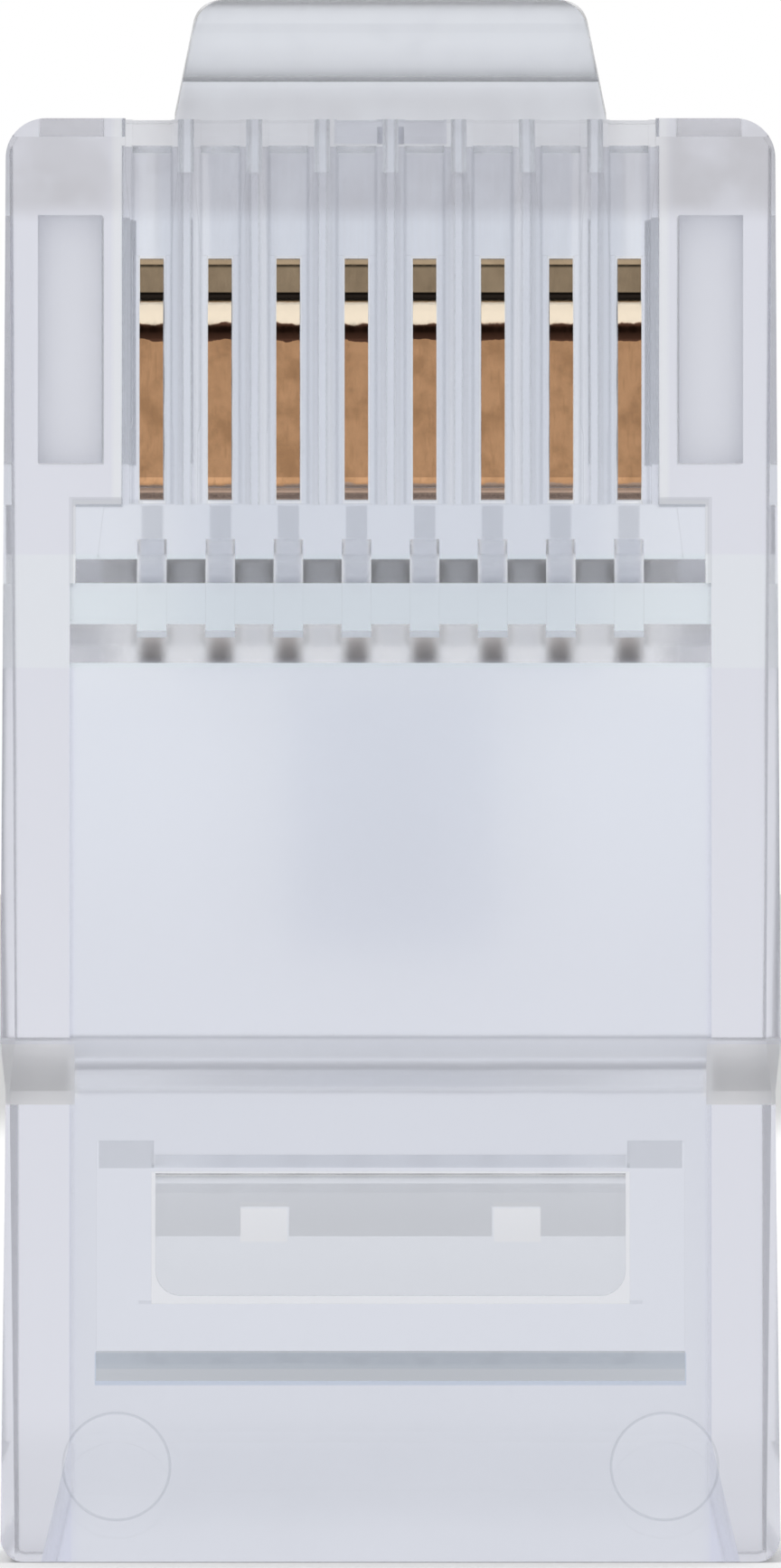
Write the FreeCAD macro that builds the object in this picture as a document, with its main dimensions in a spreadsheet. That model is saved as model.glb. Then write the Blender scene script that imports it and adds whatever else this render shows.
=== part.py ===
import FreeCAD, Part
import math
import os

import Sketcher

# An 8P8C (RJ45) modular plug, uncrimped and without a cable.
# The plug stands on its cable end with the nose up: +Z runs from the cable entry to
# the nose, +X along the row of contacts, and the contact side faces -Y.
# The origin is the centre of the cable entry, in the plane of the rear face.
# Heights that belong to the nose (contacts, conductor channels, latch) are measured
# back from it, and those that belong to the cable end are measured up from z = 0.

SIZES = [
    # housing, outside
    ("body_length", 21.48),        # rear face to nose face
    ("body_width", 11.61),         # widest, at the front of the step
    ("front_thick", 6.66),         # thickness of the section that enters a jack
    ("entry_wall", 0.95),          # wall on either side of the cable entry
    ("entry_tall", 6.10),          # cable cavity, contact side to latch side
    ("nose_inset", 0.085),         # moulding draft from the step to the nose
    ("waist_inset", 0.08),         # shallow waist behind the step
    ("waist_top", 7.00),           # the grip section ends here
    ("step_top", 7.75),            # and the front section starts here
    ("nose_round", 0.60),          # nose corners seen from the contact side
    ("nose_edge", 0.28),           # bevel of the nose edge on the contact side
    ("rear_round", 0.35),          # rear corners
    ("long_round", 0.22),          # long edges
    # housing, cable cavity
    ("cavity_width", 9.56),
    ("cavity_tall", 4.60),         # in the front section
    ("cavity_step_low", 6.87),     # latch-side wall of the cavity slopes in from here
    ("cavity_step_high", 7.60),
    ("flare_tall", 1.76),          # mouth flare
    ("flare_out", 0.42),
    # housing, conductor guides, back from the nose
    ("ramp_back", 8.11),           # first ramp starts
    ("ramp_top", 7.53),            # ledge starts
    ("ledge_top", 6.92),           # second ramp starts
    ("guide_back", 6.56),          # second ramp ends
    ("guide_top", 5.74),           # front wall of the guides
    ("ledge_drop", 1.05),          # ledge below the cavity's contact-side wall
    ("guide_drop", 1.85),          # second ramp ends this far below the same wall
    ("guide_width", 9.40),
    ("funnel_drop", 2.30),         # the funnel to the channels starts below this
    ("funnel_rear_width", 8.90),
    ("funnel_width", 8.56),
    ("flute_width", 0.44),         # one flute per conductor in the ledge
    ("flute_deep", 0.30),
    # conductor channels and contact slots
    ("pitch", 1.016),
    ("channel_radius", 0.46),
    ("channel_depth", 4.15),       # channel axis below the contact-side face
    ("channel_lip", 0.50),         # roof of the channels above the axis
    ("nose_wall", 0.38),           # channels stop short of the nose face
    ("slot_front", 2.02),          # blade slot, front end back from the nose
    ("slot_rear", 5.74),           # blade slot, rear end back from the nose
    ("jack_slot_width", 0.58),
    ("tail_slot_width", 0.66),     # behind the ribs' rounded ends
    ("tail_slot_front", 4.61),
    ("neck_slot_width", 0.64),     # in front of the blades
    ("neck_slot_front", 1.50),
    ("mouth_slot_width", 0.78),    # the ribs are thinnest at the comb bevel
    ("jack_slot_deep", 1.45),
    ("mouth_slot_deep", 2.35),     # deeper part in front of the blades
    ("mouth_lip_deep", 1.95),      # lip left at the nose face
    ("comb_bevel", 0.81),          # the ribs slope down to the nose from here
    ("comb_bevel_deep", 1.15),     # and meet it this deep
    ("comb_width", 7.72),
    ("core_front", 1.44),          # core pockets on either side of the channels
    ("core_rear", 5.13),
    ("core_inner", 4.30),
    ("core_outer", 5.25),
    ("core_wall", 0.95),           # left on the contact side
    ("gate_width", 1.68),          # recess of the moulding gate in the nose face
    ("gate_low", 0.95),            # from the latch-side face
    ("gate_high", 1.75),
    ("gate_deep", 0.32),
    ("gate_stub", 0.20),           # radius of the gate's stub
    ("gate_stub_tall", 0.26),
    # contact blades
    ("blade_thick", 0.35),
    ("blade_side_gap", 0.025),     # between a blade and the walls of its slot
    ("blade_end_gap", 0.06),       # between a blade and the ends of its slot
    ("crown_proud", 0.10),         # crown above the contact-side face, uncrimped
    ("crown_front", 2.69),         # crown starts, back from the nose
    ("crown_rear", 5.51),
    ("crown_front_round", 0.60),
    ("crown_foot_round", 0.11),
    ("crown_rear_round", 0.16),
    ("front_shoulder", 0.85),      # below the crown
    ("rear_shoulder", 0.45),
    ("tooth_tall", 0.85),
    ("tooth_gap", 0.05),           # tooth tips above the channel roof, uncrimped
    ("tooth_inset", 0.30),         # teeth stop this far from the blade ends
    ("tooth_flat", 0.10),
    ("shoulder_round", 0.14),
    # strain relief, up from the rear face
    ("recess_width", 8.76),
    ("recess_deep", 0.45),
    ("recess_low", 3.13),
    ("recess_ramp", 0.47),         # ramp from the recess floor out to the face
    ("recess_high", 6.09),
    ("recess_top_ramp", 0.23),
    ("corner_pit", 0.16),          # the recess ends rise this much higher
    ("window_width", 7.12),
    ("window_low", 3.83),
    ("clamp_side_gap", 0.06),
    ("clamp_end_gap", 0.12),
    ("clamp_hinge_high", 5.62),
    ("clamp_hinge_deep", 0.80),    # hinge line below the contact-side face
    ("clamp_knuckle", 0.15),
    ("hinge_gap", 0.03),           # around both hinge knuckles
    ("clamp_face_deep", 0.30),     # flat outer face of the bar
    ("clamp_slope", 0.78),         # length of its sloped face
    ("clamp_thick", 1.10),
    ("clamp_rib_start", 0.34),     # below the hinge line
    ("clamp_rear_round", 0.38),
    ("clamp_rib_width", 0.72),
    ("clamp_rib_apart", 3.74),
    # moulding marks
    ("pin_mark", 0.80),            # radius of the ejector pin marks
    ("pin_mark_deep", 0.03),
    ("pin_mark_apart", 8.15),
    ("pin_mark_high", 1.42),
    # latch
    ("latch_root", 0.70),          # radius of the bend at the root
    ("latch_reach", 1.22),         # hinge line in front of the nose
    ("latch_clear", 0.59),         # hinge line outside the latch-side face
    ("latch_width", 6.52),
    ("latch_taper", 0.38),         # each side, from the nose to the tip
    ("latch_tip_round", 0.58),       # corners of the tip, and of the web in front of it
    ("latch_thick", 1.14),         # at the root
    ("latch_catch", 9.90),         # catch shoulders, along the lever from the hinge
    ("catch_inset", 0.04),         # each side, from the nose to the catch
    ("latch_length", 14.20),
    ("catch_rise", 0.35),          # the wide part thickens towards its shoulders
    ("catch_step", 0.50),          # and the grip behind them is lower
    ("latch_end_lift", 0.20),      # the grip rises a little to its end
    ("latch_grip_width", 3.25),
    ("latch_end_thick", 0.95),
    ("latch_grip_round", 0.45),
    ("latch_relaxed", 15.0),       # degrees from the latch-side face, unpressed
    ("web_thick", 0.92),           # web between the nose and the latch root
    ("web_round", 0.60),
]

doc = FreeCAD.newDocument("ModularPlug")
sheet = doc.addObject("Spreadsheet::Sheet", "Sizes")
for row, (word, number) in enumerate(SIZES, 1):
    sheet.set("A%d" % row, word)
    sheet.set("B%d" % row, str(number))
    sheet.setAlias("B%d" % row, word)
doc.recompute()

# Lines and planes that several pieces share, as expressions of the sheet.
FACE = "(-Sizes.entry_tall / 2 - Sizes.entry_wall)"
GRIP_FACE = "(Sizes.entry_tall / 2 + Sizes.entry_wall)"
LATCH_FACE = "(%s + Sizes.front_thick)" % FACE
ROOF = "(%s + Sizes.channel_depth - Sizes.channel_lip)" % FACE
NOSE = "Sizes.body_length"
HINGE_Y = "(%s + Sizes.latch_clear)" % LATCH_FACE
HINGE_Z = "(%s + Sizes.latch_reach)" % NOSE
FIRST = "-3.5 * Sizes.pitch"


def origin(body, role):
    for feature in body.Origin.OriginFeatures:
        if feature.Role == role:
            return feature


def new_sketch(body, name, role, offset=None):
    sketch = body.newObject("Sketcher::SketchObject", name)
    sketch.AttachmentSupport = [(origin(body, role), "")]
    sketch.MapMode = "FlatFace"
    if offset:
        sketch.setExpression("AttachmentOffset.Base.z", offset)
    return sketch


def number(sketch, text):
    """Present value of an expression of the sheet."""
    found = sketch.evalExpression(text)
    return float(getattr(found, "Value", found))


def bind(sketch, rows):
    """Adds constraints, each with the expression that drives it, if any."""
    first = sketch.ConstraintCount
    sketch.addConstraint([constraint for constraint, text in rows])
    for k, (constraint, text) in enumerate(rows):
        if text:
            sketch.setExpression("Constraints[%d]" % (first + k), text)


def loop(sketch, points):
    """Closed outline through corners given as expressions: (across, along[, radius])."""
    count = len(points)
    spots = [FreeCAD.Vector(number(sketch, p[0]), number(sketch, p[1]), 0) for p in points]
    starts = list(spots)
    ends = list(spots)
    arcs = {}
    for k, point in enumerate(points):
        if len(point) == 3:
            radius = number(sketch, point[2])
            before = (spots[k - 1] - spots[k]).normalize()
            after = (spots[(k + 1) % count] - spots[k]).normalize()
            half = before.getAngle(after) / 2
            starts[k] = spots[k] + after * (radius / math.tan(half))
            ends[k] = spots[k] + before * (radius / math.tan(half))
            centre = spots[k] + (before + after).normalize() * (radius / math.sin(half))
            ring = Part.Circle(centre, FreeCAD.Vector(0, 0, 1), radius)
            bearing = [math.atan2(*reversed((spot - centre)[:2])) for spot in (ends[k], starts[k])]
            left_turn = (ends[k] - centre).cross(starts[k] - centre).z > 0
            if not left_turn:
                bearing.reverse()
            if bearing[1] < bearing[0]:
                bearing[1] += 2 * math.pi
            arcs[k] = (Part.ArcOfCircle(ring, bearing[0], bearing[1]), left_turn)
    lines = []
    for k in range(count):
        follow = (k + 1) % count
        lines.append(sketch.addGeometry(Part.LineSegment(starts[k], ends[follow]), False))
    rows = []
    for k, point in enumerate(points):
        into = lines[k - 1]
        out = lines[k]
        if k in arcs:
            arc = sketch.addGeometry(arcs[k][0], False)
            corner_point = sketch.addGeometry(Part.Point(spots[k]), True)
            near, far = (1, 2) if arcs[k][1] else (2, 1)
            rows.append((Sketcher.Constraint("Tangent", into, 2, arc, near), None))
            rows.append((Sketcher.Constraint("Tangent", out, 1, arc, far), None))
            rows.append((Sketcher.Constraint("PointOnObject", corner_point, 1, into), None))
            rows.append((Sketcher.Constraint("PointOnObject", corner_point, 1, out), None))
            rows.append((Sketcher.Constraint("Radius", arc, number(sketch, point[2])), point[2]))
            place = (corner_point, 1)
        else:
            rows.append((Sketcher.Constraint("Coincident", into, 2, out, 1), None))
            place = (out, 1)
        rows.append((Sketcher.Constraint("DistanceX", -1, 1, place[0], place[1], spots[k].x), point[0]))
        rows.append((Sketcher.Constraint("DistanceY", -1, 1, place[0], place[1], spots[k].y), point[1]))
    bind(sketch, rows)
    return sketch


def disc(sketch, across, along, radius):
    """Circle whose centre and radius are bound to expressions."""
    centre = FreeCAD.Vector(number(sketch, across), number(sketch, along), 0)
    reach = number(sketch, radius)
    ring = sketch.addGeometry(Part.Circle(centre, FreeCAD.Vector(0, 0, 1), reach), False)
    bind(sketch, [
        (Sketcher.Constraint("DistanceX", -1, 1, ring, 3, centre.x), across),
        (Sketcher.Constraint("DistanceY", -1, 1, ring, 3, centre.y), along),
        (Sketcher.Constraint("Radius", ring, reach), radius),
    ])
    return sketch


def across_pad(body, name, sketch, width):
    """Material on both sides of the sketch plane."""
    pad = body.newObject("PartDesign::Pad", name)
    pad.Profile = sketch
    pad.SideType = "Symmetric"
    pad.setExpression("Length", width)
    doc.recompute()
    return pad


def across_cut(body, name, sketch, width):
    """Cut on both sides of the sketch plane."""
    before = body.Shape.Volume
    cut = body.newObject("PartDesign::Pocket", name)
    cut.Profile = sketch
    cut.SideType = "Symmetric"
    cut.setExpression("Length", width)
    doc.recompute()
    must_lose(body, name, before)
    return cut


def one_way_cut(body, name, sketch, length, back=False):
    """Cut on one side of the sketch plane."""
    before = body.Shape.Volume
    cut = body.newObject("PartDesign::Pocket", name)
    cut.Profile = sketch
    cut.Reversed = back
    cut.setExpression("Length", length)
    doc.recompute()
    must_lose(body, name, before)
    return cut


def must_lose(body, name, before):
    if body.Shape.isNull() or body.Shape.Volume >= before - 1e-6:
        raise RuntimeError(name + " removed nothing")


def row_of_eight(body, name, feature):
    """The same cut at every contact position."""
    row = body.newObject("PartDesign::LinearPattern", name)
    row.Originals = [feature]
    row.Direction = (origin(body, "X_Axis"), [""])
    row.setExpression("Length", "7 * Sizes.pitch")
    row.Occurrences = 8
    body.Tip = row
    doc.recompute()
    return row


def edge_names(shape, test):
    names = []
    for number, edge in enumerate(shape.Edges, 1):
        box = edge.BoundBox
        if test(box):
            names.append("Edge%d" % number)
    return names


def rounded(body, name, test, radius, kind="PartDesign::Fillet"):
    base = body.Tip
    names = edge_names(base.Shape, test)
    if not names:
        raise RuntimeError(name + " found no edges")
    feature = body.newObject(kind, name)
    feature.Base = (base, names)
    feature.setExpression("Radius" if kind.endswith("Fillet") else "Size", radius)
    doc.recompute()
    return feature


def value(word):
    return float(sheet.get(word))


def along_x(box):
    return box.YLength < 1e-4 and box.ZLength < 1e-4 and box.XLength > 0.1


def along_y(box):
    return box.XLength < 1e-4 and box.ZLength < 1e-4 and box.YLength > 0.1


# ---------------------------------------------------------------- housing
# One clear moulding: the box, its cavity, the conductor channels, the contact
# slots, the strain-relief recess and the web that carries the latch.
housing = doc.addObject("PartDesign::Body", "housing")
housing.Label = "housing"

side = new_sketch(housing, "side_outline", "YZ_Plane")
loop(side, [
    (FACE, "0"),
    (FACE + " + Sizes.waist_inset", "Sizes.waist_top"),
    (FACE, "Sizes.step_top"),
    (FACE + " + Sizes.nose_inset", NOSE),
    (LATCH_FACE + " - Sizes.nose_inset", NOSE),
    (LATCH_FACE, "Sizes.step_top"),
    (GRIP_FACE, "Sizes.waist_top"),
    (GRIP_FACE, "0"),
])
across_pad(housing, "block", side, "Sizes.body_width")

# Both flanks carry the same waist and draft.
flanks = new_sketch(housing, "flanks", "XZ_Plane")
for sign in ("-", ""):
    edge = sign + "(Sizes.body_width / 2"
    loop(flanks, [
        (edge + ")", "0"),
        (edge + " - Sizes.waist_inset)", "Sizes.waist_top"),
        (edge + ")", "Sizes.step_top"),
        (edge + " - Sizes.nose_inset)", NOSE),
        (edge + " + 1)", NOSE),
        (edge + " + 1)", "0"),
    ])
across_cut(housing, "flank_draft", flanks, "4 * %s" % GRIP_FACE)

top = value("body_length")
rounded(housing, "nose_corners", lambda b: b.ZMin > top - 1e-3 and b.YLength > 4 and b.XLength < 0.01,
        "Sizes.nose_round")
rounded(housing, "rear_corners", lambda b: b.ZMax < 1e-3 and b.YLength > 4 and b.XLength < 0.01,
        "Sizes.rear_round")

# Bevel along the nose edge on the contact side.
bevel = new_sketch(housing, "bevel_outline", "YZ_Plane")
NOSE_FACE = "(%s + Sizes.nose_inset)" % FACE
loop(bevel, [
    (NOSE_FACE + " - 1", NOSE + " - Sizes.nose_edge - 1"),
    (NOSE_FACE + " + Sizes.nose_edge + 1", NOSE + " + 1"),
    (NOSE_FACE + " - 1", NOSE + " + 1"),
])
across_cut(housing, "nose_bevel", bevel, "Sizes.body_width + 1")

# The long edges are broken all the way along.
SIDE = "Sizes.body_width / 2"
EDGE = "Sizes.long_round"


def corner(sketch, sign, face, turn):
    """Triangle that takes a 45 degree slice off a corner of the section."""
    loop(sketch, [
        ("%s(%s - %s - 0.5)" % (sign, SIDE, EDGE), "%s %s 0.5" % (face, turn)),
        ("%s(%s + 0.5)" % (sign, SIDE), "%s %s 0.5" % (face, turn)),
        ("%s(%s + 0.5)" % (sign, SIDE), "%s %s (-%s - 0.5)" % (face, turn, EDGE)),
    ])


contact_edges = new_sketch(housing, "contact_side_edges", "XY_Plane")
grip_edges = new_sketch(housing, "grip_edges", "XY_Plane")
latch_edges = new_sketch(housing, "latch_side_edges", "XY_Plane", "Sizes.step_top")
for sign in ("-", ""):
    corner(contact_edges, sign, FACE, "-")
    corner(grip_edges, sign, GRIP_FACE, "+")
    corner(latch_edges, sign, LATCH_FACE, "+")
one_way_cut(housing, "contact_side_bevels", contact_edges, NOSE, True)
one_way_cut(housing, "grip_bevels", grip_edges, "Sizes.step_top", True)
one_way_cut(housing, "latch_side_bevels", latch_edges, NOSE + " - Sizes.step_top", True)

# The ribs between the contact slots slope down to the nose.
comb = new_sketch(housing, "comb_outline", "YZ_Plane")
loop(comb, [
    (FACE + " - 0.5", NOSE + " - Sizes.comb_bevel"),
    (FACE + " + Sizes.nose_inset", NOSE + " - Sizes.comb_bevel"),
    (FACE + " + Sizes.comb_bevel_deep", NOSE),
    (FACE + " + Sizes.comb_bevel_deep", NOSE + " + 0.5"),
    (FACE + " - 0.5", NOSE + " + 0.5"),
])
across_cut(housing, "comb_slope", comb, "Sizes.comb_width")

# Core pockets beside the channels, open on the latch side, thin the front section.
cores = new_sketch(housing, "core_outlines", "XZ_Plane", "-" + LATCH_FACE)
for sign in ("-", ""):
    loop(cores, [
        (sign + "Sizes.core_inner", NOSE + " - Sizes.core_rear"),
        (sign + "Sizes.core_outer", NOSE + " - Sizes.core_rear"),
        (sign + "Sizes.core_outer", NOSE + " - Sizes.core_front"),
        (sign + "Sizes.core_inner", NOSE + " - Sizes.core_front"),
    ])
one_way_cut(housing, "core_pockets", cores, "Sizes.front_thick - Sizes.core_wall", True)

# Recess of the moulding gate in the nose face, with the stub left in it.
gate = new_sketch(housing, "gate_outline", "YZ_Plane")
loop(gate, [
    (LATCH_FACE + " - Sizes.gate_high", NOSE + " - Sizes.gate_deep"),
    (LATCH_FACE + " - Sizes.gate_high", NOSE + " + 0.5"),
    (LATCH_FACE + " - Sizes.gate_low", NOSE + " + 0.5"),
    (LATCH_FACE + " - Sizes.gate_low", NOSE + " - Sizes.gate_deep"),
])
across_cut(housing, "gate_recess", gate, "Sizes.gate_width")
stub = new_sketch(housing, "gate_stub_outline", "XY_Plane", NOSE + " - Sizes.gate_deep - 0.1")
disc(stub, "0", LATCH_FACE + " - (Sizes.gate_high + Sizes.gate_low) / 2", "Sizes.gate_stub")
stub_pad = housing.newObject("PartDesign::Pad", "gate_stub_pad")
stub_pad.Profile = stub
stub_pad.setExpression("Length", "Sizes.gate_stub_tall + 0.1")
doc.recompute()

# Cable cavity, stepping in with the outside and ramping up to the guides.
cavity = new_sketch(housing, "cavity_outline", "YZ_Plane")
INNER = "(-Sizes.entry_tall / 2)"
CAVITY_TOP = "(-Sizes.entry_tall / 2 + Sizes.cavity_tall)"
FLOOR = "(%s + Sizes.channel_depth + Sizes.channel_radius)" % FACE
loop(cavity, [
    (INNER, "-1"),
    (INNER, NOSE + " - Sizes.ramp_back"),
    (INNER + " + Sizes.ledge_drop", NOSE + " - Sizes.ramp_top"),
    (INNER + " + Sizes.ledge_drop", NOSE + " - Sizes.ledge_top"),
    (FLOOR, NOSE + " - Sizes.ledge_top"),
    (CAVITY_TOP, NOSE + " - Sizes.ramp_back"),
    (CAVITY_TOP, "Sizes.cavity_step_high"),
    ("Sizes.entry_tall / 2", "Sizes.cavity_step_low"),
    ("Sizes.entry_tall / 2", "-1"),
])
across_cut(housing, "cavity", cavity, "Sizes.cavity_width")

# The mouth of the cable entry flares on all four sides.
mouth = new_sketch(housing, "mouth_outline", "XY_Plane")
MOUTH_X = "(Sizes.cavity_width / 2 + Sizes.flare_out)"
MOUTH_Y = "(Sizes.entry_tall / 2 + Sizes.flare_out)"
loop(mouth, [
    ("-" + MOUTH_X, "-" + MOUTH_Y),
    (MOUTH_X, "-" + MOUTH_Y),
    (MOUTH_X, MOUTH_Y),
    ("-" + MOUTH_X, MOUTH_Y),
])
flare = one_way_cut(housing, "mouth_flare", mouth, "Sizes.flare_tall", True)
flare.setExpression("TaperAngle", "-atan(Sizes.flare_out / Sizes.flare_tall)")
doc.recompute()

# Guides in front of the cavity: an outer pocket, and a funnel down to the channels.
guide = new_sketch(housing, "guide_outline", "YZ_Plane")
loop(guide, [
    (INNER + " + Sizes.ledge_drop", NOSE + " - Sizes.ledge_top - 0.2"),
    (INNER + " + Sizes.ledge_drop", NOSE + " - Sizes.ledge_top"),
    (INNER + " + Sizes.guide_drop", NOSE + " - Sizes.guide_back"),
    (INNER + " + Sizes.guide_drop", NOSE + " - Sizes.guide_top"),
    (INNER + " + Sizes.funnel_drop", NOSE + " - Sizes.guide_top"),
    (INNER + " + Sizes.funnel_drop", NOSE + " - Sizes.ledge_top - 0.2"),
])
across_cut(housing, "guide", guide, "Sizes.guide_width")
funnel = new_sketch(housing, "funnel_outline", "XZ_Plane", "-(%s + Sizes.funnel_drop - 0.1)" % INNER)
loop(funnel, [
    ("-Sizes.funnel_rear_width / 2", NOSE + " - Sizes.ledge_top - 0.2"),
    ("Sizes.funnel_rear_width / 2", NOSE + " - Sizes.ledge_top - 0.2"),
    ("Sizes.funnel_width / 2", NOSE + " - Sizes.guide_top"),
    ("-Sizes.funnel_width / 2", NOSE + " - Sizes.guide_top"),
])
one_way_cut(housing, "funnel", funnel, "%s - %s - Sizes.funnel_drop + 0.1" % (FLOOR, INNER))

# One flute per conductor, through the ledge and the second ramp.
flute = new_sketch(housing, "flute_outline", "YZ_Plane", FIRST)
loop(flute, [
    (INNER + " + Sizes.ledge_drop - Sizes.flute_deep", NOSE + " - Sizes.ramp_top - 0.1"),
    (INNER + " + Sizes.ledge_drop - Sizes.flute_deep", NOSE + " - Sizes.ledge_top"),
    (INNER + " + Sizes.guide_drop", NOSE + " - Sizes.guide_back + Sizes.flute_deep"),
    (INNER + " + Sizes.guide_drop + 0.3", NOSE + " - Sizes.ledge_top"),
    (INNER + " + Sizes.ledge_drop + 0.3", NOSE + " - Sizes.ramp_top - 0.1"),
])
row_of_eight(housing, "flutes", across_cut(housing, "flute", flute, "Sizes.flute_width"))

# Strain relief: a recess with a ramp at its rear, a window for the bar, and two pits.
recess = new_sketch(housing, "recess_outline", "YZ_Plane")
loop(recess, [
    (FACE + " - 1", "Sizes.recess_low - Sizes.recess_ramp"),
    (FACE, "Sizes.recess_low - Sizes.recess_ramp"),
    (FACE + " + Sizes.recess_deep", "Sizes.recess_low"),
    (FACE + " + Sizes.recess_deep", "Sizes.recess_high - Sizes.recess_top_ramp"),
    (FACE, "Sizes.recess_high"),
    (FACE + " - 1", "Sizes.recess_high"),
])
across_cut(housing, "recess", recess, "Sizes.recess_width")
WINDOW_TOP = "Sizes.clamp_hinge_high + Sizes.clamp_knuckle + Sizes.hinge_gap"
window = new_sketch(housing, "window_outline", "XZ_Plane", "-" + FACE)
loop(window, [
    ("-Sizes.window_width / 2", "Sizes.window_low"),
    ("Sizes.window_width / 2", "Sizes.window_low"),
    ("Sizes.window_width / 2", WINDOW_TOP),
    ("-Sizes.window_width / 2", WINDOW_TOP),
])
across_cut(housing, "window", window, "2 * Sizes.entry_wall + 1")
pits = new_sketch(housing, "pit_outlines", "XZ_Plane", "-" + FACE)
marks = new_sketch(housing, "mark_outlines", "XZ_Plane", "-" + FACE)
for sign in ("-", ""):
    loop(pits, [
        (sign + "Sizes.window_width / 2", "Sizes.recess_high - Sizes.recess_top_ramp"),
        (sign + "Sizes.recess_width / 2", "Sizes.recess_high - Sizes.recess_top_ramp"),
        (sign + "Sizes.recess_width / 2", "Sizes.recess_high + Sizes.corner_pit"),
        (sign + "Sizes.window_width / 2", "Sizes.recess_high + Sizes.corner_pit"),
    ])
    disc(marks, sign + "Sizes.pin_mark_apart / 2", "Sizes.pin_mark_high", "Sizes.pin_mark")
across_cut(housing, "pits", pits, "2 * Sizes.recess_deep")
across_cut(housing, "marks", marks,
           "2 * Sizes.pin_mark_deep + 2 * Sizes.waist_inset * Sizes.pin_mark_high / Sizes.waist_top")

# Conductor channels: a shared flat roof and a round bottom for each conductor.
roof = new_sketch(housing, "roof_outline", "YZ_Plane")
loop(roof, [
    (ROOF, NOSE + " - Sizes.guide_top - 0.1"),
    (ROOF, NOSE + " - Sizes.nose_wall"),
    (FACE + " + Sizes.channel_depth", NOSE + " - Sizes.nose_wall"),
    (FACE + " + Sizes.channel_depth", NOSE + " - Sizes.guide_top - 0.1"),
])
across_cut(housing, "channel_roof", roof, "7 * Sizes.pitch + 2 * Sizes.channel_radius")
bore = new_sketch(housing, "channel_outline", "XY_Plane", NOSE + " - Sizes.guide_top - 0.1")
disc(bore, FIRST, FACE + " + Sizes.channel_depth", "Sizes.channel_radius")
row_of_eight(housing, "channels", one_way_cut(
    housing, "channel", bore, "Sizes.guide_top + 0.1 - Sizes.nose_wall", True))

# Narrow slots that hold the blades, down into the channels.
blade_slot = new_sketch(housing, "blade_slot_outline", "YZ_Plane", FIRST)
loop(blade_slot, [
    (FACE + " - 1", NOSE + " - Sizes.slot_rear"),
    (FACE + " - 1", NOSE + " - Sizes.slot_front"),
    (FACE + " + Sizes.channel_depth", NOSE + " - Sizes.slot_front"),
    (FACE + " + Sizes.channel_depth", NOSE + " - Sizes.slot_rear"),
])
row_of_eight(housing, "blade_slots", across_cut(
    housing, "blade_slot", blade_slot, "Sizes.blade_thick + 2 * Sizes.blade_side_gap"))

# Wider slots for the wires of a jack, open at the nose. They leave ribs that are
# thickest beside the blades.
jack_slot = new_sketch(housing, "jack_slot_outline", "XZ_Plane", "-" + FACE)
WAIST = NOSE + " - Sizes.tail_slot_front"
half = [
    ("Sizes.tail_slot_width / 2", NOSE + " - Sizes.slot_rear"),
    ("Sizes.tail_slot_width / 2", WAIST + " - 0.1"),
    ("Sizes.jack_slot_width / 2", WAIST + " + 0.1"),
    ("Sizes.jack_slot_width / 2", NOSE + " - Sizes.slot_front"),
    ("Sizes.neck_slot_width / 2", NOSE + " - Sizes.neck_slot_front"),
    ("Sizes.mouth_slot_width / 2", NOSE + " - Sizes.comb_bevel"),
    ("Sizes.mouth_slot_width / 2", NOSE + " + 1"),
]
loop(jack_slot, [("%s + %s" % (FIRST, across), along) for across, along in half]
     + [("%s - %s" % (FIRST, across), along) for across, along in reversed(half)])
row_of_eight(housing, "jack_slots", across_cut(
    housing, "jack_slot", jack_slot, "2 * Sizes.jack_slot_deep"))

# In front of the blades the slots go deeper, behind a lip at the nose face.
mouth_slot = new_sketch(housing, "mouth_slot_outline", "YZ_Plane", FIRST)
loop(mouth_slot, [
    (FACE + " - 1", NOSE + " - Sizes.slot_front"),
    (FACE + " - 1", NOSE + " + 1"),
    (FACE + " + Sizes.mouth_lip_deep", NOSE + " + 1"),
    (FACE + " + Sizes.mouth_lip_deep", NOSE + " - Sizes.nose_wall"),
    (FACE + " + Sizes.mouth_slot_deep", NOSE + " - Sizes.nose_wall - 0.1"),
    (FACE + " + Sizes.mouth_slot_deep", NOSE + " - Sizes.slot_front"),
])
row_of_eight(housing, "mouth_slots", across_cut(
    housing, "mouth_slot", mouth_slot, "Sizes.jack_slot_width"))

# Web from the nose to the latch root, with a round seat for the bend of the latch.
web = new_sketch(housing, "web_outline", "YZ_Plane")
loop(web, [
    (LATCH_FACE + " - Sizes.web_thick", NOSE + " - Sizes.nose_wall / 2"),
    (LATCH_FACE + " - Sizes.web_thick", HINGE_Z + " + Sizes.latch_root", "Sizes.web_round"),
    (HINGE_Y + " - Sizes.latch_root / 2", HINGE_Z + " + Sizes.latch_root"),
    (HINGE_Y + " - Sizes.latch_root / 2", HINGE_Z),
    (LATCH_FACE + " - Sizes.nose_inset", NOSE + " - Sizes.nose_wall / 2"),
])
across_pad(housing, "latch_web", web, "Sizes.latch_width")
TIP_SIDE = "%s(Sizes.latch_width / 2 - Sizes.latch_taper)"
TIP_FLAT = "%s(Sizes.latch_width / 2 - Sizes.latch_taper - 1.5 * Sizes.latch_tip_round)"
web_sides = new_sketch(housing, "web_sides", "XZ_Plane")
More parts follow.
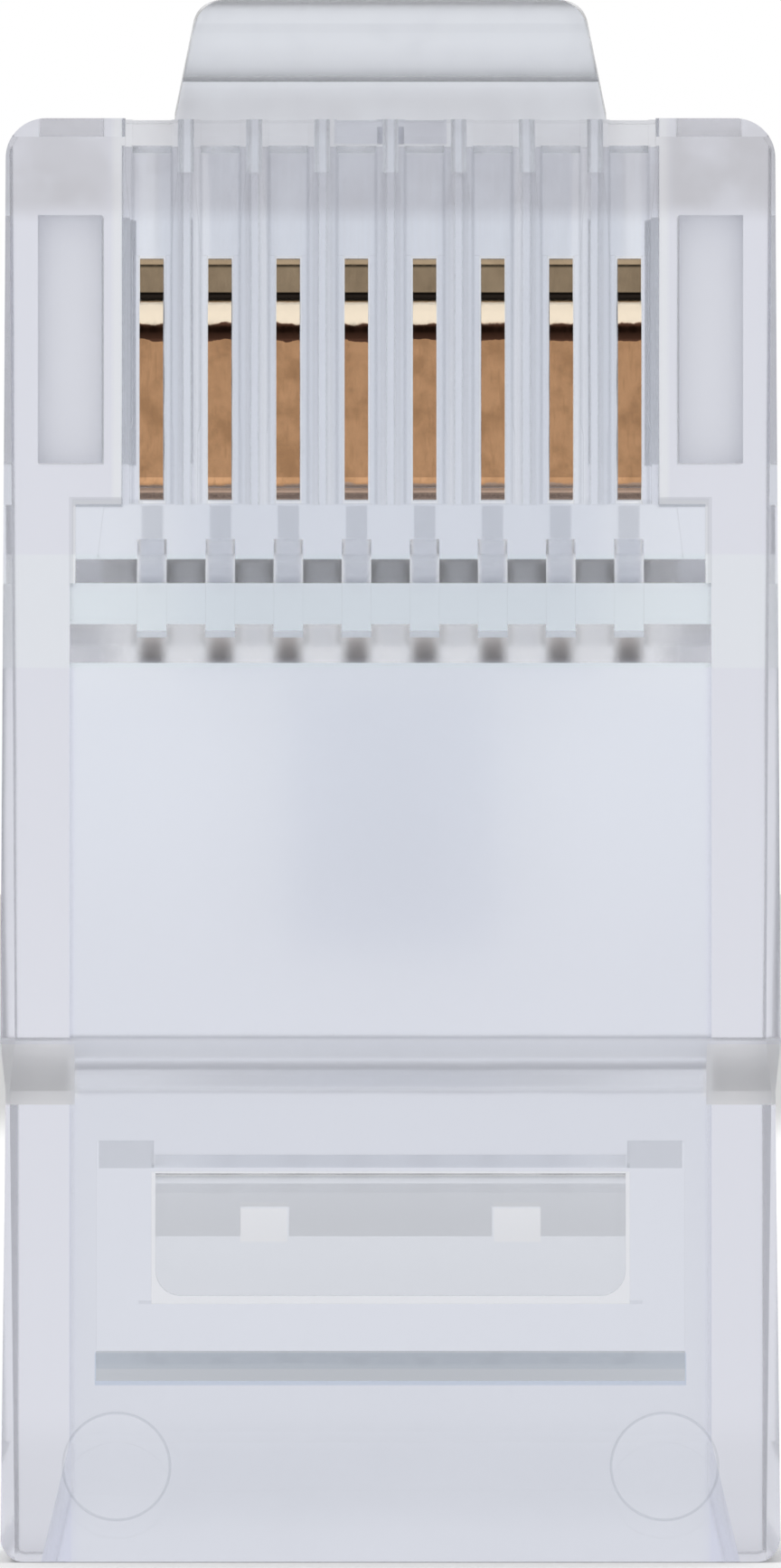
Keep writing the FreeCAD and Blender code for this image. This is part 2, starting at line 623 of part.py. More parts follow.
for sign in ("-", ""):
    loop(web_sides, [
        (sign + "Sizes.latch_width / 2", NOSE),
        (TIP_SIDE % sign, HINGE_Z + " + Sizes.latch_root", "Sizes.latch_tip_round"),
        (TIP_FLAT % sign, HINGE_Z + " + Sizes.latch_root"),
        (TIP_FLAT % sign, HINGE_Z + " + Sizes.latch_root + 1"),
        (sign + "(Sizes.latch_width / 2 + 1)", HINGE_Z + " + Sizes.latch_root + 1"),
        (sign + "(Sizes.latch_width / 2 + 1)", NOSE),
    ])
across_cut(housing, "web_taper", web_sides, "4 * %s" % GRIP_FACE)
seat = new_sketch(housing, "seat_outline", "YZ_Plane")
disc(seat, HINGE_Y, HINGE_Z, "Sizes.latch_root + Sizes.hinge_gap")
across_cut(housing, "latch_seat", seat, "Sizes.latch_width + 1")

# ---------------------------------------------------------------- latch
# Drawn parallel to the latch-side face, with its hinge line at its own origin,
# and turned outwards to its relaxed angle.
latch = doc.addObject("PartDesign::Body", "latch")
latch.Label = "latch"
bend = new_sketch(latch, "bend_outline", "YZ_Plane")
disc(bend, "0", "0", "Sizes.latch_root")
across_pad(latch, "bend", bend, "Sizes.latch_width")
GRIP_TOP = "(Sizes.latch_root + Sizes.catch_rise - Sizes.catch_step)"
lever = new_sketch(latch, "lever_outline", "YZ_Plane")
loop(lever, [
    ("Sizes.latch_root", "0"),
    ("Sizes.latch_root + Sizes.catch_rise", "-Sizes.latch_catch"),
    (GRIP_TOP, "-Sizes.latch_catch"),
    (GRIP_TOP + " + Sizes.latch_end_lift", "-Sizes.latch_length"),
    (GRIP_TOP + " + Sizes.latch_end_lift - Sizes.latch_end_thick", "-Sizes.latch_length"),
    ("Sizes.latch_root - Sizes.latch_thick", "0"),
])
across_pad(latch, "lever", lever, "Sizes.latch_width")
plan = new_sketch(latch, "lever_plan", "XZ_Plane")
for sign in ("-", ""):
    loop(plan, [
        (sign + "Sizes.latch_grip_width / 2", "-Sizes.latch_length - 1"),
        (sign + "Sizes.latch_grip_width / 2", "-Sizes.latch_catch"),
        (sign + "(Sizes.latch_width / 2 - Sizes.catch_inset)", "-Sizes.latch_catch"),
        (sign + "Sizes.latch_width / 2", "-Sizes.latch_reach"),
        (TIP_SIDE % sign, "Sizes.latch_root", "Sizes.latch_tip_round"),
        (TIP_FLAT % sign, "Sizes.latch_root"),
        (TIP_FLAT % sign, "Sizes.latch_root + 1"),
        (sign + "(Sizes.latch_width / 2 + 1)", "Sizes.latch_root + 1"),
        (sign + "(Sizes.latch_width / 2 + 1)", "-Sizes.latch_length - 1"),
    ])
across_cut(latch, "lever_sides", plan, "8 * Sizes.latch_root")
rounded(latch, "grip_corners",
        lambda b: b.XLength < 1e-3 and b.ZLength < 1e-3 and b.ZMax < -value("latch_length") + 1e-3,
        "Sizes.latch_grip_round")
latch.Placement.Rotation = FreeCAD.Rotation(FreeCAD.Vector(1, 0, 0), value("latch_relaxed"))
latch.setExpression("Placement.Base.y", HINGE_Y)
latch.setExpression("Placement.Base.z", HINGE_Z)
latch.setExpression("Placement.Rotation.Angle", "Sizes.latch_relaxed")
doc.recompute()

# ---------------------------------------------------------------- anchor bar
# The bar in the window is pressed inwards about a thin hinge at its front edge
# and then holds the jacket of the cable.
clamp = doc.addObject("PartDesign::Body", "jacket_clamp")
clamp.Label = "jacket_clamp"
CLAMP_Y = "(%s + Sizes.clamp_hinge_deep)" % FACE
CLAMP_FACE = "(%s + Sizes.clamp_face_deep)" % FACE
CLAMP_LOW = "(Sizes.window_low + Sizes.clamp_end_gap)"
CLAMP_WIDTH = "Sizes.window_width - 2 * Sizes.clamp_side_gap"
knuckle = new_sketch(clamp, "knuckle_outline", "YZ_Plane")
disc(knuckle, CLAMP_Y, "Sizes.clamp_hinge_high", "Sizes.clamp_knuckle")
across_pad(clamp, "knuckle", knuckle, CLAMP_WIDTH)
bar = new_sketch(clamp, "bar_outline", "YZ_Plane")
loop(bar, [
    (CLAMP_Y + " - Sizes.clamp_knuckle", "Sizes.clamp_hinge_high"),
    (CLAMP_FACE, "Sizes.clamp_hinge_high - Sizes.clamp_slope"),
    (CLAMP_FACE, CLAMP_LOW),
    (CLAMP_FACE + " + Sizes.clamp_thick", CLAMP_LOW),
    (CLAMP_Y + " + Sizes.clamp_knuckle", "Sizes.clamp_hinge_high"),
])
across_pad(clamp, "bar", bar, CLAMP_WIDTH)
ribs = new_sketch(clamp, "rib_outlines", "XZ_Plane", "-" + CLAMP_FACE)
for sign in ("-", ""):
    loop(ribs, [
        (sign + "(Sizes.clamp_rib_apart - Sizes.clamp_rib_width) / 2",
         "Sizes.clamp_hinge_high - Sizes.clamp_slope"),
        (sign + "(Sizes.clamp_rib_apart + Sizes.clamp_rib_width) / 2",
         "Sizes.clamp_hinge_high - Sizes.clamp_slope"),
        (sign + "(Sizes.clamp_rib_apart + Sizes.clamp_rib_width) / 2",
         "Sizes.clamp_hinge_high - Sizes.clamp_rib_start"),
        (sign + "(Sizes.clamp_rib_apart - Sizes.clamp_rib_width) / 2",
         "Sizes.clamp_hinge_high - Sizes.clamp_rib_start"),
    ])
rib_pad = clamp.newObject("PartDesign::Pad", "ribs")
rib_pad.Profile = ribs
rib_pad.Reversed = True
rib_pad.setExpression("Length", "Sizes.clamp_hinge_deep - Sizes.clamp_face_deep")
doc.recompute()
rounded(clamp, "rear_rounds",
        lambda b: b.XLength < 1e-3 and b.ZLength < 1e-3 and b.ZMax < value("window_low") + value("clamp_end_gap") + 1e-3,
        "Sizes.clamp_rear_round")

# ---------------------------------------------------------------- contacts
# Stamped blades standing on edge in their slots, crown to the contact side and
# teeth just above the conductor channels. Contact 1 is at -X.
CROWN = "(%s - Sizes.crown_proud)" % FACE
TIP = "(%s - Sizes.tooth_gap)" % ROOF
VALLEY = "(%s - Sizes.tooth_tall)" % TIP
FRONT = "(%s - Sizes.slot_front - Sizes.blade_end_gap)" % NOSE
REAR = "(%s - Sizes.slot_rear + Sizes.blade_end_gap)" % NOSE
TOOTH = "((%s - %s - 2 * Sizes.tooth_inset) / 3)" % (FRONT, REAR)
contacts = []
for position in range(1, 9):
    contact = doc.addObject("PartDesign::Body", "contact_%d" % position)
    contact.Label = "contact_%d" % position
    blade = new_sketch(contact, "blade_%d_outline" % position, "YZ_Plane", "%s * Sizes.pitch" % (position - 4.5))
    outline = [
        (CROWN, NOSE + " - Sizes.crown_rear", "Sizes.crown_rear_round"),
        (CROWN, NOSE + " - Sizes.crown_front", "Sizes.crown_front_round"),
        (CROWN + " + Sizes.front_shoulder", NOSE + " - Sizes.crown_front", "Sizes.crown_foot_round"),
        (CROWN + " + Sizes.front_shoulder", FRONT, "Sizes.shoulder_round"),
        (VALLEY, FRONT),
    ]
    for tooth in range(3):
        middle = "%s - Sizes.tooth_inset - %s * %s" % (FRONT, tooth + 0.5, TOOTH)
        outline.append((VALLEY, "%s - Sizes.tooth_inset - %s * %s" % (FRONT, tooth, TOOTH)))
        outline.append((TIP, middle + " + Sizes.tooth_flat / 2"))
        outline.append((TIP, middle + " - Sizes.tooth_flat / 2"))
    outline += [
        (VALLEY, REAR + " + Sizes.tooth_inset"),
        (VALLEY, REAR),
        (CROWN + " + Sizes.rear_shoulder", REAR, "Sizes.shoulder_round"),
        (CROWN + " + Sizes.rear_shoulder", NOSE + " - Sizes.crown_rear"),
    ]
    loop(blade, outline)
    across_pad(contact, "blade_%d" % position, blade, "Sizes.blade_thick")
    contacts.append(contact)

# ---------------------------------------------------------------- export
doc.recompute()
for item in doc.Objects:
    if "Invalid" in item.State or "Error" in item.State:
        raise RuntimeError("%s did not build: %s" % (item.Name, item.State))
pieces = [housing, latch, clamp] + contacts
for piece in pieces:
    if piece.Shape.isNull() or not piece.Shape.isValid() or len(piece.Shape.Solids) != 1:
        raise RuntimeError(piece.Label + " is not one valid solid")
os.makedirs("parts", exist_ok=True)
for piece in pieces:
    piece.Shape.exportStep("parts/%s.step" % piece.Label)
    box = piece.Shape.BoundBox
    print("%-14s %8.3f mm3  x %.2f..%.2f  y %.2f..%.2f  z %.2f..%.2f" % (
        piece.Label, piece.Shape.Volume, box.XMin, box.XMax, box.YMin, box.YMax, box.ZMin, box.ZMax))
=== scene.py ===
import bpy
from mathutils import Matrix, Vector


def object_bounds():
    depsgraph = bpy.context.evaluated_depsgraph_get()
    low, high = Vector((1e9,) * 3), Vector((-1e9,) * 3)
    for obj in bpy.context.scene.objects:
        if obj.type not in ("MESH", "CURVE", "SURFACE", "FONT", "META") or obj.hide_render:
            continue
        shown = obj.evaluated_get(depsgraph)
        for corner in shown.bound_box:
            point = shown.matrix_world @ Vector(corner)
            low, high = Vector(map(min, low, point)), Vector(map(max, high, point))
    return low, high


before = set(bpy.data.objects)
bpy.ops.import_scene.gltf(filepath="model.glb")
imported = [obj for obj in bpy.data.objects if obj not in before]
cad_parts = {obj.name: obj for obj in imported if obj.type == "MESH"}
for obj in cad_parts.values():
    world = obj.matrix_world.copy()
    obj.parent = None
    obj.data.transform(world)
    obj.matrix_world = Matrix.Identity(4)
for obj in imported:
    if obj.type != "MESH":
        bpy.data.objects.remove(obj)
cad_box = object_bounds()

# ---------------------------------------------------------------------------
# Plug body: one clear polycarbonate moulding, about 21.5 mm tall, that stands on its cable mouth.
# Injection moulded, with polished outer faces and a satin latch side. Lines of its walls that are too fine
# to come out by refraction alone are painted into its tint as painted shade, at the places of those walls.

POLYCARBONATE_IOR = 1.585
HAIR = 0.00005                  # a mark whose edge is softer than this is eased, the others end plainly


class Sums:
    """The few sums that a pattern needs, in one shader tree. A socket given as a value is linked."""

    def __init__(self, tree):
        self.tree = tree

    def link(self, output, socket):
        self.tree.links.new(output, socket)

    def put(self, value, socket):
        if isinstance(value, bpy.types.NodeSocket):
            self.link(value, socket)
        else:
            socket.default_value = value

    def sum(self, operation, *values):
        node = self.tree.nodes.new("ShaderNodeMath")
        node.operation = operation
        for value, socket in zip(values, node.inputs):
            self.put(value, socket)
        return node.outputs["Value"]

    def ease(self, value, low, high, at_low=0.0, at_high=1.0):
        node = self.tree.nodes.new("ShaderNodeMapRange")
        node.interpolation_type = "SMOOTHSTEP"
        for name, number in (("Value", value), ("From Min", low), ("From Max", high),
                             ("To Min", at_low), ("To Max", at_high)):
            self.put(number, node.inputs[name])
        return node.outputs["Result"]

    def between(self, value, low, high, soft):
        """1 from low to high, and 0 outside. Edges softer than a hair are eased, the others are plain."""
        if soft <= HAIR:
            return self.sum("COMPARE", value, (low + high) / 2, (high - low) / 2)
        return self.sum("MULTIPLY", self.ease(value, low - soft, low + soft),
                        self.ease(value, high - soft, high + soft, 1.0, 0.0))

    def all_of(self, *masks):
        """Where every mask holds: their product."""
        product = masks[0]
        for mask in masks[1:]:
            product = self.sum("MULTIPLY", product, mask)
        return product

    def above(self, value, limit):
        return self.sum("GREATER_THAN", value, limit)

    def below(self, value, limit):
        return self.sum("LESS_THAN", value, limit)

    def larger(self, one, other):
        return self.sum("MAXIMUM", one, other)

    def mix(self, factor, one, other):
        node = self.tree.nodes.new("ShaderNodeMix")
        node.data_type = "RGBA"
        self.put(factor, node.inputs["Factor"])
        self.put(one, node.inputs["A"])
        self.put(other, node.inputs["B"])
        return node.outputs["Result"]


class Recipe(Sums):
    """A material under construction, with the position on the piece."""

    def __init__(self, name):
        self.finish = bpy.data.materials.new(name)
        self.finish.use_nodes = True
        super().__init__(self.finish.node_tree)
        self.surface = self.tree.nodes["Principled BSDF"]
        self.out = self.tree.nodes["Material Output"]
        where = self.tree.nodes.new("ShaderNodeTexCoord")
        self.place, self.lean = where.outputs["Object"], where.outputs["Normal"]
        self.x, self.y, self.z = self.parts(self.place)

    def parts(self, vector):
        split = self.tree.nodes.new("ShaderNodeSeparateXYZ")
        self.link(vector, split.inputs["Vector"])
        return [split.outputs[axis] for axis in "XYZ"]

    def cloud(self, scale, detail, stretch=(1.0, 1.0, 1.0)):
        laid = self.tree.nodes.new("ShaderNodeMapping")
        laid.inputs["Scale"].default_value = stretch
        self.link(self.place, laid.inputs["Vector"])
        node = self.tree.nodes.new("ShaderNodeTexNoise")
        node.inputs["Scale"].default_value = scale
        node.inputs["Detail"].default_value = detail
        self.link(laid.outputs["Vector"], node.inputs["Vector"])
        return node.outputs["Fac"]

    def relief(self, height, distance):
        node = self.tree.nodes.new("ShaderNodeBump")
        node.inputs["Strength"].default_value = 1.0
        node.inputs["Distance"].default_value = distance
        self.link(height, node.inputs["Height"])
        return node.outputs["Normal"]


def clear_plastic(recipe, tint, roughness):
    """What all the plug's plastic shares: refraction, a faint grey of its own, and the melt's slow waves."""
    wave_size, wave_height = 420.0, 0.000012
    own_grey, own_density = (0.60, 0.59, 0.64, 1.0), 22.0
    plastic = recipe.surface
    plastic.inputs["IOR"].default_value = POLYCARBONATE_IOR
    plastic.inputs["Transmission Weight"].default_value = 1.0
    recipe.put(tint, plastic.inputs["Base Color"])
    recipe.put(roughness, plastic.inputs["Roughness"])
    waves = recipe.cloud(wave_size, 1.0, (1.0, 1.0, 0.45))
    recipe.link(recipe.relief(waves, wave_height), plastic.inputs["Normal"])
    soak = recipe.tree.nodes.new("ShaderNodeVolumeAbsorption")
    soak.inputs["Color"].default_value = own_grey
    soak.inputs["Density"].default_value = own_density
    recipe.link(soak.outputs["Volume"], recipe.out.inputs["Volume"])


def dress(piece, finish):
    piece.data.materials.clear()
    piece.data.materials.append(finish)


NOSE_TINT = (0.935, 0.955, 0.995, 1.0)
CAVITY_TINT = (0.925, 0.945, 0.99, 1.0)
MOUTH_TINT = (0.905, 0.92, 0.965, 1.0)
SIDE_TINT = (0.875, 0.89, 0.965, 1.0)
PAINTED_SHADE_GREY = (0.46, 0.48, 0.53, 1.0)
CONTACT_PITCH = 0.001016
SLOTS_HALF = 0.0040             # from the middle to the outer edge of the row of slots
CAVITY_HALF = 0.00475           # half the cavity's width

body = Recipe("body_polycarbonate")
beside = body.sum("ABSOLUTE", body.x)
# faces that look to the front or the back, and not the side walls, where marks would add up
facing = body.above(body.sum("ABSOLUTE", body.parts(body.lean)[1]), 0.3)
# a darker, blotched band across the nose, strongest at its corners and weaker over the slots
blotch = body.ease(body.cloud(900.0, 3.0), 0.35, 0.65, 0.45, 1.0)
nose_darkening = body.all_of(body.between(body.z, 0.0201, 0.0220, 0.0002), blotch,
                    body.ease(beside, SLOTS_HALF, 0.0043, 0.5, 1.0), facing)
# the tint deepens a little towards the mouth
lower = body.mix(body.ease(body.z, 0.0080, 0.0125), MOUTH_TINT, CAVITY_TINT)
plain = body.mix(body.ease(body.z, 0.0125, 0.0133), lower, NOSE_TINT)
tint = body.mix(nose_darkening, plain, (0.68, 0.67, 0.70, 1.0))
# painted shade: the solid walls beside the cavity and the slots are tinted deeper
cheek = body.all_of(body.above(beside, 0.00415), body.above(body.z, 0.0158))
sides = body.larger(body.above(beside, CAVITY_HALF), cheek)
tint = body.mix(sides, tint, body.mix(nose_darkening, SIDE_TINT, (0.66, 0.66, 0.70, 1.0)))
# a painted dark line of shade along each wall of the jack slots; across runs from 0 at a rib to 0.5 at a
# slot's edge
along_row = body.sum("FRACT", body.sum("DIVIDE", body.x, CONTACT_PITCH))
across = body.sum("ABSOLUTE", body.sum("SUBTRACT", along_row, 0.5))
slots = body.all_of(body.between(body.z, 0.01575, 0.0211, HAIR), body.below(beside, 0.00402),
                    body.below(body.y, -0.0015), facing)
slot_shade_lines = body.all_of(body.between(across, 0.262, 0.312, 0.02), slots, 0.55)
# painted grey columns under the slots where the conductor guides run, shade and reflection of the contacts,
# and a painted dark bracket of shade at either end
columns = body.all_of(body.ease(across, 0.140, 0.170, 1.0, 0.0), body.between(body.z, 0.01470, 0.01572, HAIR),
                      body.below(beside, SLOTS_HALF), 0.22)
top_bar = body.all_of(body.between(beside, SLOTS_HALF, 0.00478, HAIR),
                      body.between(body.z, 0.01570, 0.01584, HAIR))
side_bar = body.all_of(body.between(beside, 0.00472, 0.00478, HAIR),
                       body.between(body.z, 0.01450, 0.01584, HAIR))
bracket = body.all_of(body.larger(top_bar, side_bar), 0.45)
# painted shade: a dark line along the window's rear edge
sill_shade = body.all_of(body.between(body.z, 0.00383, 0.00388, HAIR), body.below(beside, 0.00375),
                   body.below(body.y, -0.0034), 0.35)
painted_shade_marks = body.larger(body.larger(body.larger(slot_shade_lines, columns), bracket), sill_shade)
tint = body.mix(painted_shade_marks, tint, PAINTED_SHADE_GREY)
# painted shade in the pits at the ends of the strain relief
pit_shade = body.all_of(body.between(beside, 0.00352, 0.00434, HAIR), body.between(body.z, 0.00585, 0.00626, HAIR),
                  body.below(body.y, -0.0030), 0.6)
tint = body.mix(pit_shade, tint, (0.62, 0.64, 0.68, 1.0))
# painted shade: bluish on the ramp at the recess's rear end, and greyer on the flare at the mouth
rear_ramp_shade = body.all_of(body.between(body.z, 0.00262, 0.00310, HAIR), body.below(beside, 0.0044),
                        body.between(body.y, -0.0041, -0.0030, HAIR), 0.55)
tint = body.mix(rear_ramp_shade, tint, (0.55, 0.65, 0.80, 1.0))
contact_side = body.below(body.y, -0.0038)
mouth = body.all_of(body.between(body.z, 0.0007, 0.0019, 0.0004), contact_side, 0.35)
tint = body.mix(mouth, tint, (0.60, 0.62, 0.66, 1.0))
# painted dark rings of shade at the edges of the marks that two ejector pins left
PIN_X, PIN_Z, PIN_INNER, PIN_OUTER = 0.004075, 0.00142, 0.000775, 0.000815
from_x = body.sum("SUBTRACT", beside, PIN_X)
from_z = body.sum("SUBTRACT", body.z, PIN_Z)
from_pin = body.sum("SQRT", body.sum("ADD", body.all_of(from_x, from_x), body.all_of(from_z, from_z)))
ring = body.all_of(body.between(from_pin, PIN_INNER, PIN_OUTER, HAIR), contact_side, 0.5)
tint = body.mix(ring, tint, (0.40, 0.43, 0.48, 1.0))
# polished towards the contacts, satin on the latch side and on the floors of the core pockets
haze = body.ease(body.y, 0.0020, 0.0022, 0.06, 0.45)
pocket = body.all_of(body.between(beside, 0.00419, 0.00536, HAIR), body.above(body.z, 0.016225),
                     body.between(body.y, -0.0032, 0.0020, HAIR))
haze = body.larger(haze, body.all_of(pocket, 0.35))
tint = body.mix(body.all_of(pocket, facing, 0.35), tint, (0.74, 0.76, 0.80, 1.0))
# faintly frosted where the guides' ramps, the waist and the edge of the cavity's step lie
guides = body.all_of(body.between(body.z, 0.01330, 0.01500, HAIR), body.above(body.y, -0.0034))
haze = body.larger(haze, body.all_of(guides, 0.15))
tint = body.mix(guides, tint, (0.93, 0.975, 1.0, 1.0))
waist = body.all_of(body.between(body.z, 0.0068, 0.0077, HAIR), body.above(beside, 0.0047))
haze = body.larger(haze, body.all_of(waist, 0.40))
tint = body.mix(waist, tint, (1.0, 1.0, 1.0, 1.0))
step_edge = body.between(body.z, 0.00752, 0.00778, HAIR)
haze = body.larger(haze, body.all_of(step_edge, 0.35))
clear_plastic(body, tint, haze)

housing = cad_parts["housing"]
dress(housing, body.finish)

# ---------------------------------------------------------------------------
# Latch: the springy tongue moulded with the body, bent back over it from the nose.
# Same plastic, thinner and paler for it, a little scuffed, and hazier where it folds over the nose.

LEVER_TINT = (0.97, 0.98, 1.0, 1.0)
LEVER_MOTTLE = (0.74, 0.75, 0.79, 1.0)

lever = Recipe("latch_polycarbonate")
scuffs = lever.ease(lever.cloud(2600.0, 2.0), 0.3, 0.7, 0.09, 0.15)
root = lever.ease(lever.z, 0.0211, 0.0214, 0.0, 0.18)
fold = lever.all_of(lever.between(lever.z, 0.0217, 0.0223, 0.0001), 0.40)
mottle = lever.all_of(lever.ease(lever.cloud(3800.0, 3.0), 0.52, 0.68), 0.30)
lever_haze = lever.larger(scuffs, lever.larger(root, fold))
clear_plastic(lever, lever.mix(mottle, LEVER_TINT, LEVER_MOTTLE), lever_haze)
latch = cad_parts["latch"]
dress(latch, lever.finish)

# ---------------------------------------------------------------------------
# Jacket clamp: the bar in the window near the mouth, moulded with the body on a thin hinge.
# A crimping tool pushes it in on the cable's jacket; it is still up, as supplied.

bar = Recipe("clamp_polycarbonate")
# the ribs are tinted lighter: a painted highlight that picks them out
rib_highlight = bar.all_of(bar.between(bar.sum("ABSOLUTE", bar.x), 0.00154, 0.00224, HAIR),
                  bar.between(bar.z, 0.00475, 0.00525, HAIR))
bar_tint = bar.mix(rib_highlight, (0.95, 0.965, 0.99, 1.0), (1.0, 1.0, 1.0, 1.0))
clear_plastic(bar, bar_tint, bar.ease(bar.y, -0.0030, -0.0028, 0.07, 0.25))
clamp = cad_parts["jacket_clamp"]
dress(clamp, bar.finish)

# ---------------------------------------------------------------------------
# Contacts: eight blades of phosphor bronze stamped from 0.35 mm strip, gold over nickel, pressed
# half-way into their slots. The crown shows the grain of the strip; the bands of light and dark on
# its rounded end come partly from what it mirrors and are partly painted highlight and shade in the plating's
# colour.

GOLD = (0.72, 0.41, 0.22, 1.0)
GOLD_WORN = (0.54, 0.30, 0.155, 1.0)
NICKEL = (0.86, 0.87, 0.90, 1.0)

plating = Recipe("contact_plating")
plating.surface.inputs["Metallic"].default_value = 1.0
grain = plating.cloud(14000.0, 3.0, (1.0, 1.0, 0.15))
patches = plating.cloud(2600.0, 4.0)
gold = plating.mix(plating.ease(patches, 0.30, 0.62), GOLD_WORN, GOLD)
gold = plating.mix(plating.ease(grain, 0.52, 0.70, 0.0, 0.5), gold, GOLD_WORN)
# bands by height along the edge: a greyer rear end, a painted dark reflection at the crown's foot,
# a painted highlight on its round, a painted black shadow in the corner and painted shade on the
# shoulder in front of it; the first three end a little raggedly
RAGGED = 0.00022
SHOULDER_SHADE, SHOULDER_SHADE_LIGHT = (0.30, 0.22, 0.14, 1.0), (0.52, 0.40, 0.27, 1.0)
ragged = plating.sum("ADD", plating.z, plating.all_of(plating.sum("SUBTRACT", patches, 0.5), RAGGED))
for band, colour in ((plating.ease(ragged, 0.01600, 0.01604, 0.75, 0.0), (0.42, 0.34, 0.30, 1.0)),
                     (plating.between(ragged, 0.01816, 0.01842, 0.00003), (0.12, 0.055, 0.035, 1.0)),
                     (plating.ease(ragged, 0.01840, 0.01844), (0.90, 0.78, 0.62, 1.0)),
                     (plating.ease(plating.z, 0.01875, 0.01878), (0.02, 0.015, 0.012, 1.0)),
                     (plating.ease(plating.z, 0.01888, 0.01890), plating.mix(patches, SHOULDER_SHADE, SHOULDER_SHADE_LIGHT))):
    gold = plating.mix(band, gold, colour)
# only the edge is gilt: the rest of the blade is bare nickel
skin = plating.mix(plating.ease(plating.y, -0.0031, -0.0030), gold, NICKEL)
plating.put(skin, plating.surface.inputs["Base Color"])
plating.put(plating.ease(grain, 0.3, 0.7, 0.13, 0.24), plating.surface.inputs["Roughness"])
plating.link(plating.relief(grain, 0.0000018), plating.surface.inputs["Normal"])

for number in range(1, 9):
    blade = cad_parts[f"contact_{number}"]
    dress(blade, plating.finish)

# ---------------------------------------------------------------------------
# Table top: a plain white sheet, a hair below the plug, that takes its shadow.
# Mirrored or seen through the plastic, it is a pale sheet with a painted shadow that darkens it close to the
# plug.

TABLE_HALF, TABLE_GAP = 3.0, 0.00001
NEAR, FAR = 0.001, 0.018
SHADOW_GREY, FAR_GREY = 0.56, 0.93

corners = [(-TABLE_HALF, -TABLE_HALF, 0), (TABLE_HALF, -TABLE_HALF, 0), (TABLE_HALF, TABLE_HALF, 0),
           (-TABLE_HALF, TABLE_HALF, 0)]
table_mesh = bpy.data.meshes.new("table_top")
table_mesh.from_pydata(corners, [], [(0, 1, 2, 3)])
table_top = bpy.data.objects.new("table_top", table_mesh)
bpy.context.scene.collection.objects.link(table_top)
table_top.location = (0, 0, cad_box[0].z - TABLE_GAP)
white = Recipe("white_table")
white.surface.inputs["Base Color"].default_value = (0.93, 0.93, 0.935, 1.0)
white.surface.inputs["Roughness"].default_value = 0.9
reach = white.tree.nodes.new("ShaderNodeVectorMath")
reach.operation = "LENGTH"
white.link(white.place, reach.inputs[0])
glow = white.tree.nodes.new("ShaderNodeEmission")
white.link(white.ease(reach.outputs["Value"], NEAR, FAR, SHADOW_GREY, FAR_GREY), glow.inputs["Color"])
rays = white.tree.nodes.new("ShaderNodeLightPath").outputs
blend = white.tree.nodes.new("ShaderNodeMixShader")
white.link(white.larger(rays["Is Transmission Ray"], rays["Is Glossy Ray"]), blend.inputs["Fac"])
white.link(white.surface.outputs["BSDF"], blend.inputs[1])
white.link(glow.outputs["Emission"], blend.inputs[2])
white.link(blend.outputs["Shader"], white.out.inputs["Surface"])
table_mesh.materials.append(white.finish)

# ---------------------------------------------------------------------------
# Surroundings: a white studio. The background is plain white, the light from all round is level,
# and what the plug mirrors or lets through is pale paper with a darker room in front of it.

AROUND_LIGHT = (0.65, 0.65, 0.65, 1.0)
PAPER_LEVEL, PAPER_ABOVE = 0.915, 0.96
FRONT_ROOM = (0.46, 0.46, 0.47, 1.0)
WHITE = (1.0, 1.0, 1.0, 1.0)

world = bpy.data.worlds.new("studio")
bpy.context.scene.world = world
world.use_nodes = True
world.cycles.sampling_method = "NONE"
sky = Sums(world.node_tree)
background = sky.tree.nodes["Background"]
background.inputs["Strength"].default_value = 1.0
rays = sky.tree.nodes.new("ShaderNodeLightPath").outputs
way = sky.tree.nodes.new("ShaderNodeSeparateXYZ")
sky.link(sky.tree.nodes.new("ShaderNodeTexCoord").outputs["Generated"], way.inputs["Vector"])
paper = sky.ease(sky.sum("ABSOLUTE", way.outputs["Z"]), 0.10, 0.80, PAPER_LEVEL, PAPER_ABOVE)
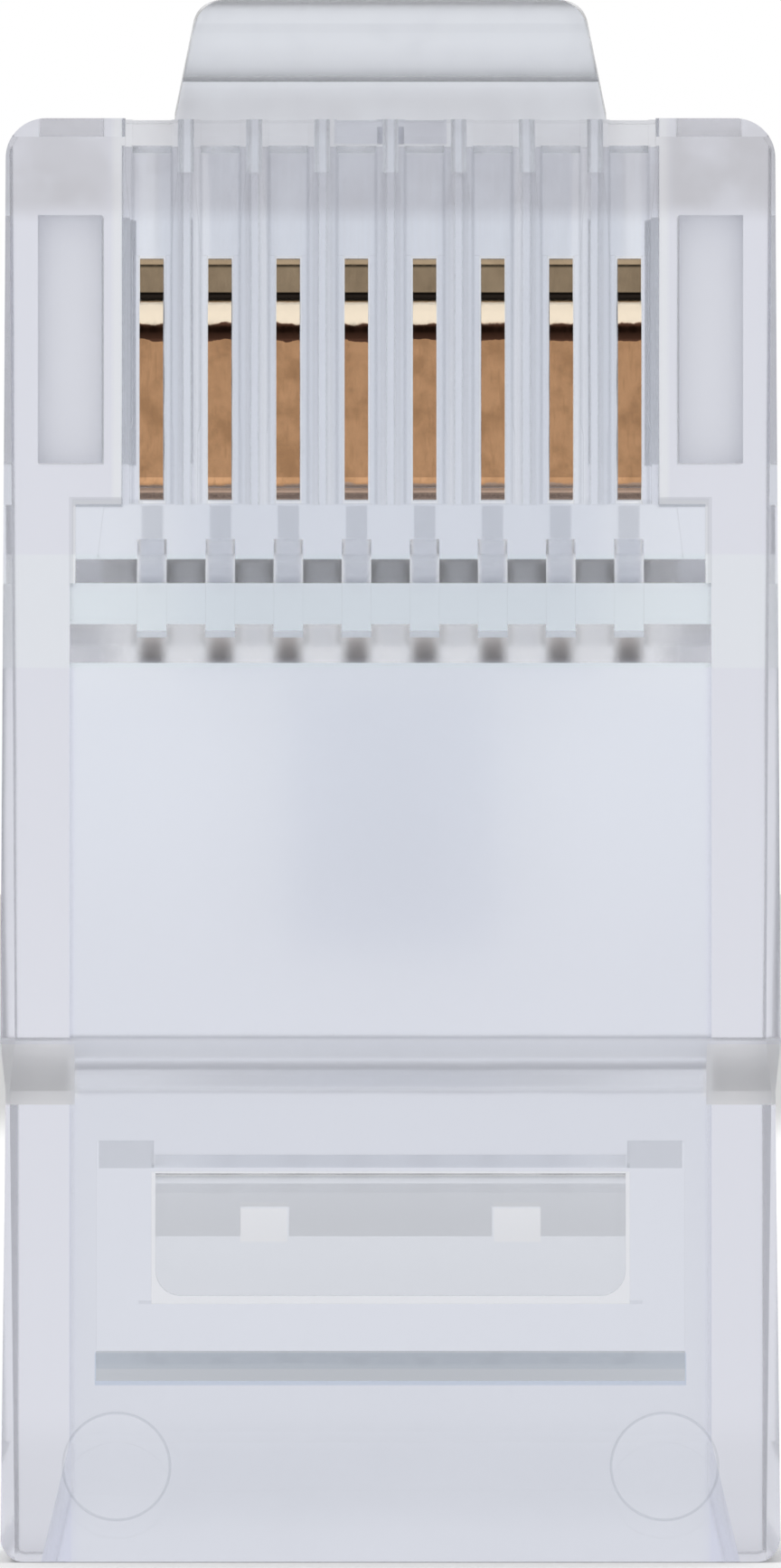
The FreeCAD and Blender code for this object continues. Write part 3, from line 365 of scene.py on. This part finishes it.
# in front, by height: a dim room, a dark band over it, then the overhead softbox
room = sky.tree.nodes.new("ShaderNodeValToRGB")
sky.link(way.outputs["Z"], room.inputs["Fac"])
ramp = room.color_ramp.elements
ramp[0].position, ramp[0].color = 0.0, FRONT_ROOM
ramp[1].position, ramp[1].color = 1.0, WHITE
for height_up, grey in ((0.22, 0.40), (0.34, 0.07), (0.60, 0.07), (0.72, 1.0)):
    ramp.new(height_up).color = (grey, grey, grey, 1.0)
mirrored = sky.larger(sky.sum("SUBTRACT", rays["Is Glossy Ray"], rays["Is Transmission Ray"]), 0.0)
around = sky.mix(sky.all_of(mirrored, sky.below(way.outputs["Y"], 0.0)), paper, room.outputs["Color"])
around = sky.mix(sky.larger(rays["Is Transmission Ray"], rays["Is Glossy Ray"]), AROUND_LIGHT, around)
sky.link(sky.mix(rays["Is Camera Ray"], around, WHITE), background.inputs["Color"])

# ---------------------------------------------------------------------------
# Lamps: three square softboxes, over the left shoulder, from the right and from behind.
# They only light what is matt and cast the shadow; the surroundings are what shines.

PLUG_MIDDLE = Vector((0, 0, 0.011))
for name, spot, width, power in (("key_softbox", (-0.25, -0.35, 0.45), 0.30, 1.5),
                                 ("fill_softbox", (0.40, -0.30, 0.20), 0.30, 0.6),
                                 ("rear_softbox", (0.10, 0.50, 0.30), 0.40, 1.0)):
    lamp = bpy.data.lights.new(name, "AREA")
    lamp.size = width
    lamp.energy = power
    softbox = bpy.data.objects.new(name, lamp)
    bpy.context.scene.collection.objects.link(softbox)
    softbox.location = spot
    softbox.visible_transmission = False
    softbox.visible_glossy = False
    softbox.rotation_euler = (PLUG_MIDDLE - Vector(spot)).to_track_quat("-Z", "Y").to_euler()

# ---------------------------------------------------------------------------
# Camera: level, square on to the contact side, with a long lens.
# The lens is set for the plane of the contact side.

VIEW_HEIGHT, VIEW_MIDDLE = 0.02332, 0.01157
VIEW_DISTANCE, CONTACT_SIDE = 0.5, 0.004
SENSOR = 36.0
LEVEL = 1.5707963

lens = bpy.data.cameras.new("camera")
lens.sensor_width = SENSOR
lens.lens = SENSOR * (VIEW_DISTANCE - CONTACT_SIDE) / VIEW_HEIGHT
lens.clip_start, lens.clip_end = 0.01, 20.0
camera = bpy.data.objects.new("camera", lens)
bpy.context.scene.collection.objects.link(camera)
camera.location = (0, -VIEW_DISTANCE, VIEW_MIDDLE)
camera.rotation_euler = (LEVEL, 0, 0)
bpy.context.scene.camera = camera
# clear plastic with many walls needs deep paths
bpy.context.scene.cycles.max_bounces = 12
bpy.context.scene.cycles.transmission_bounces = 12
bpy.context.scene.cycles.glossy_bounces = 8
bpy.context.scene.view_settings.view_transform = "Standard"
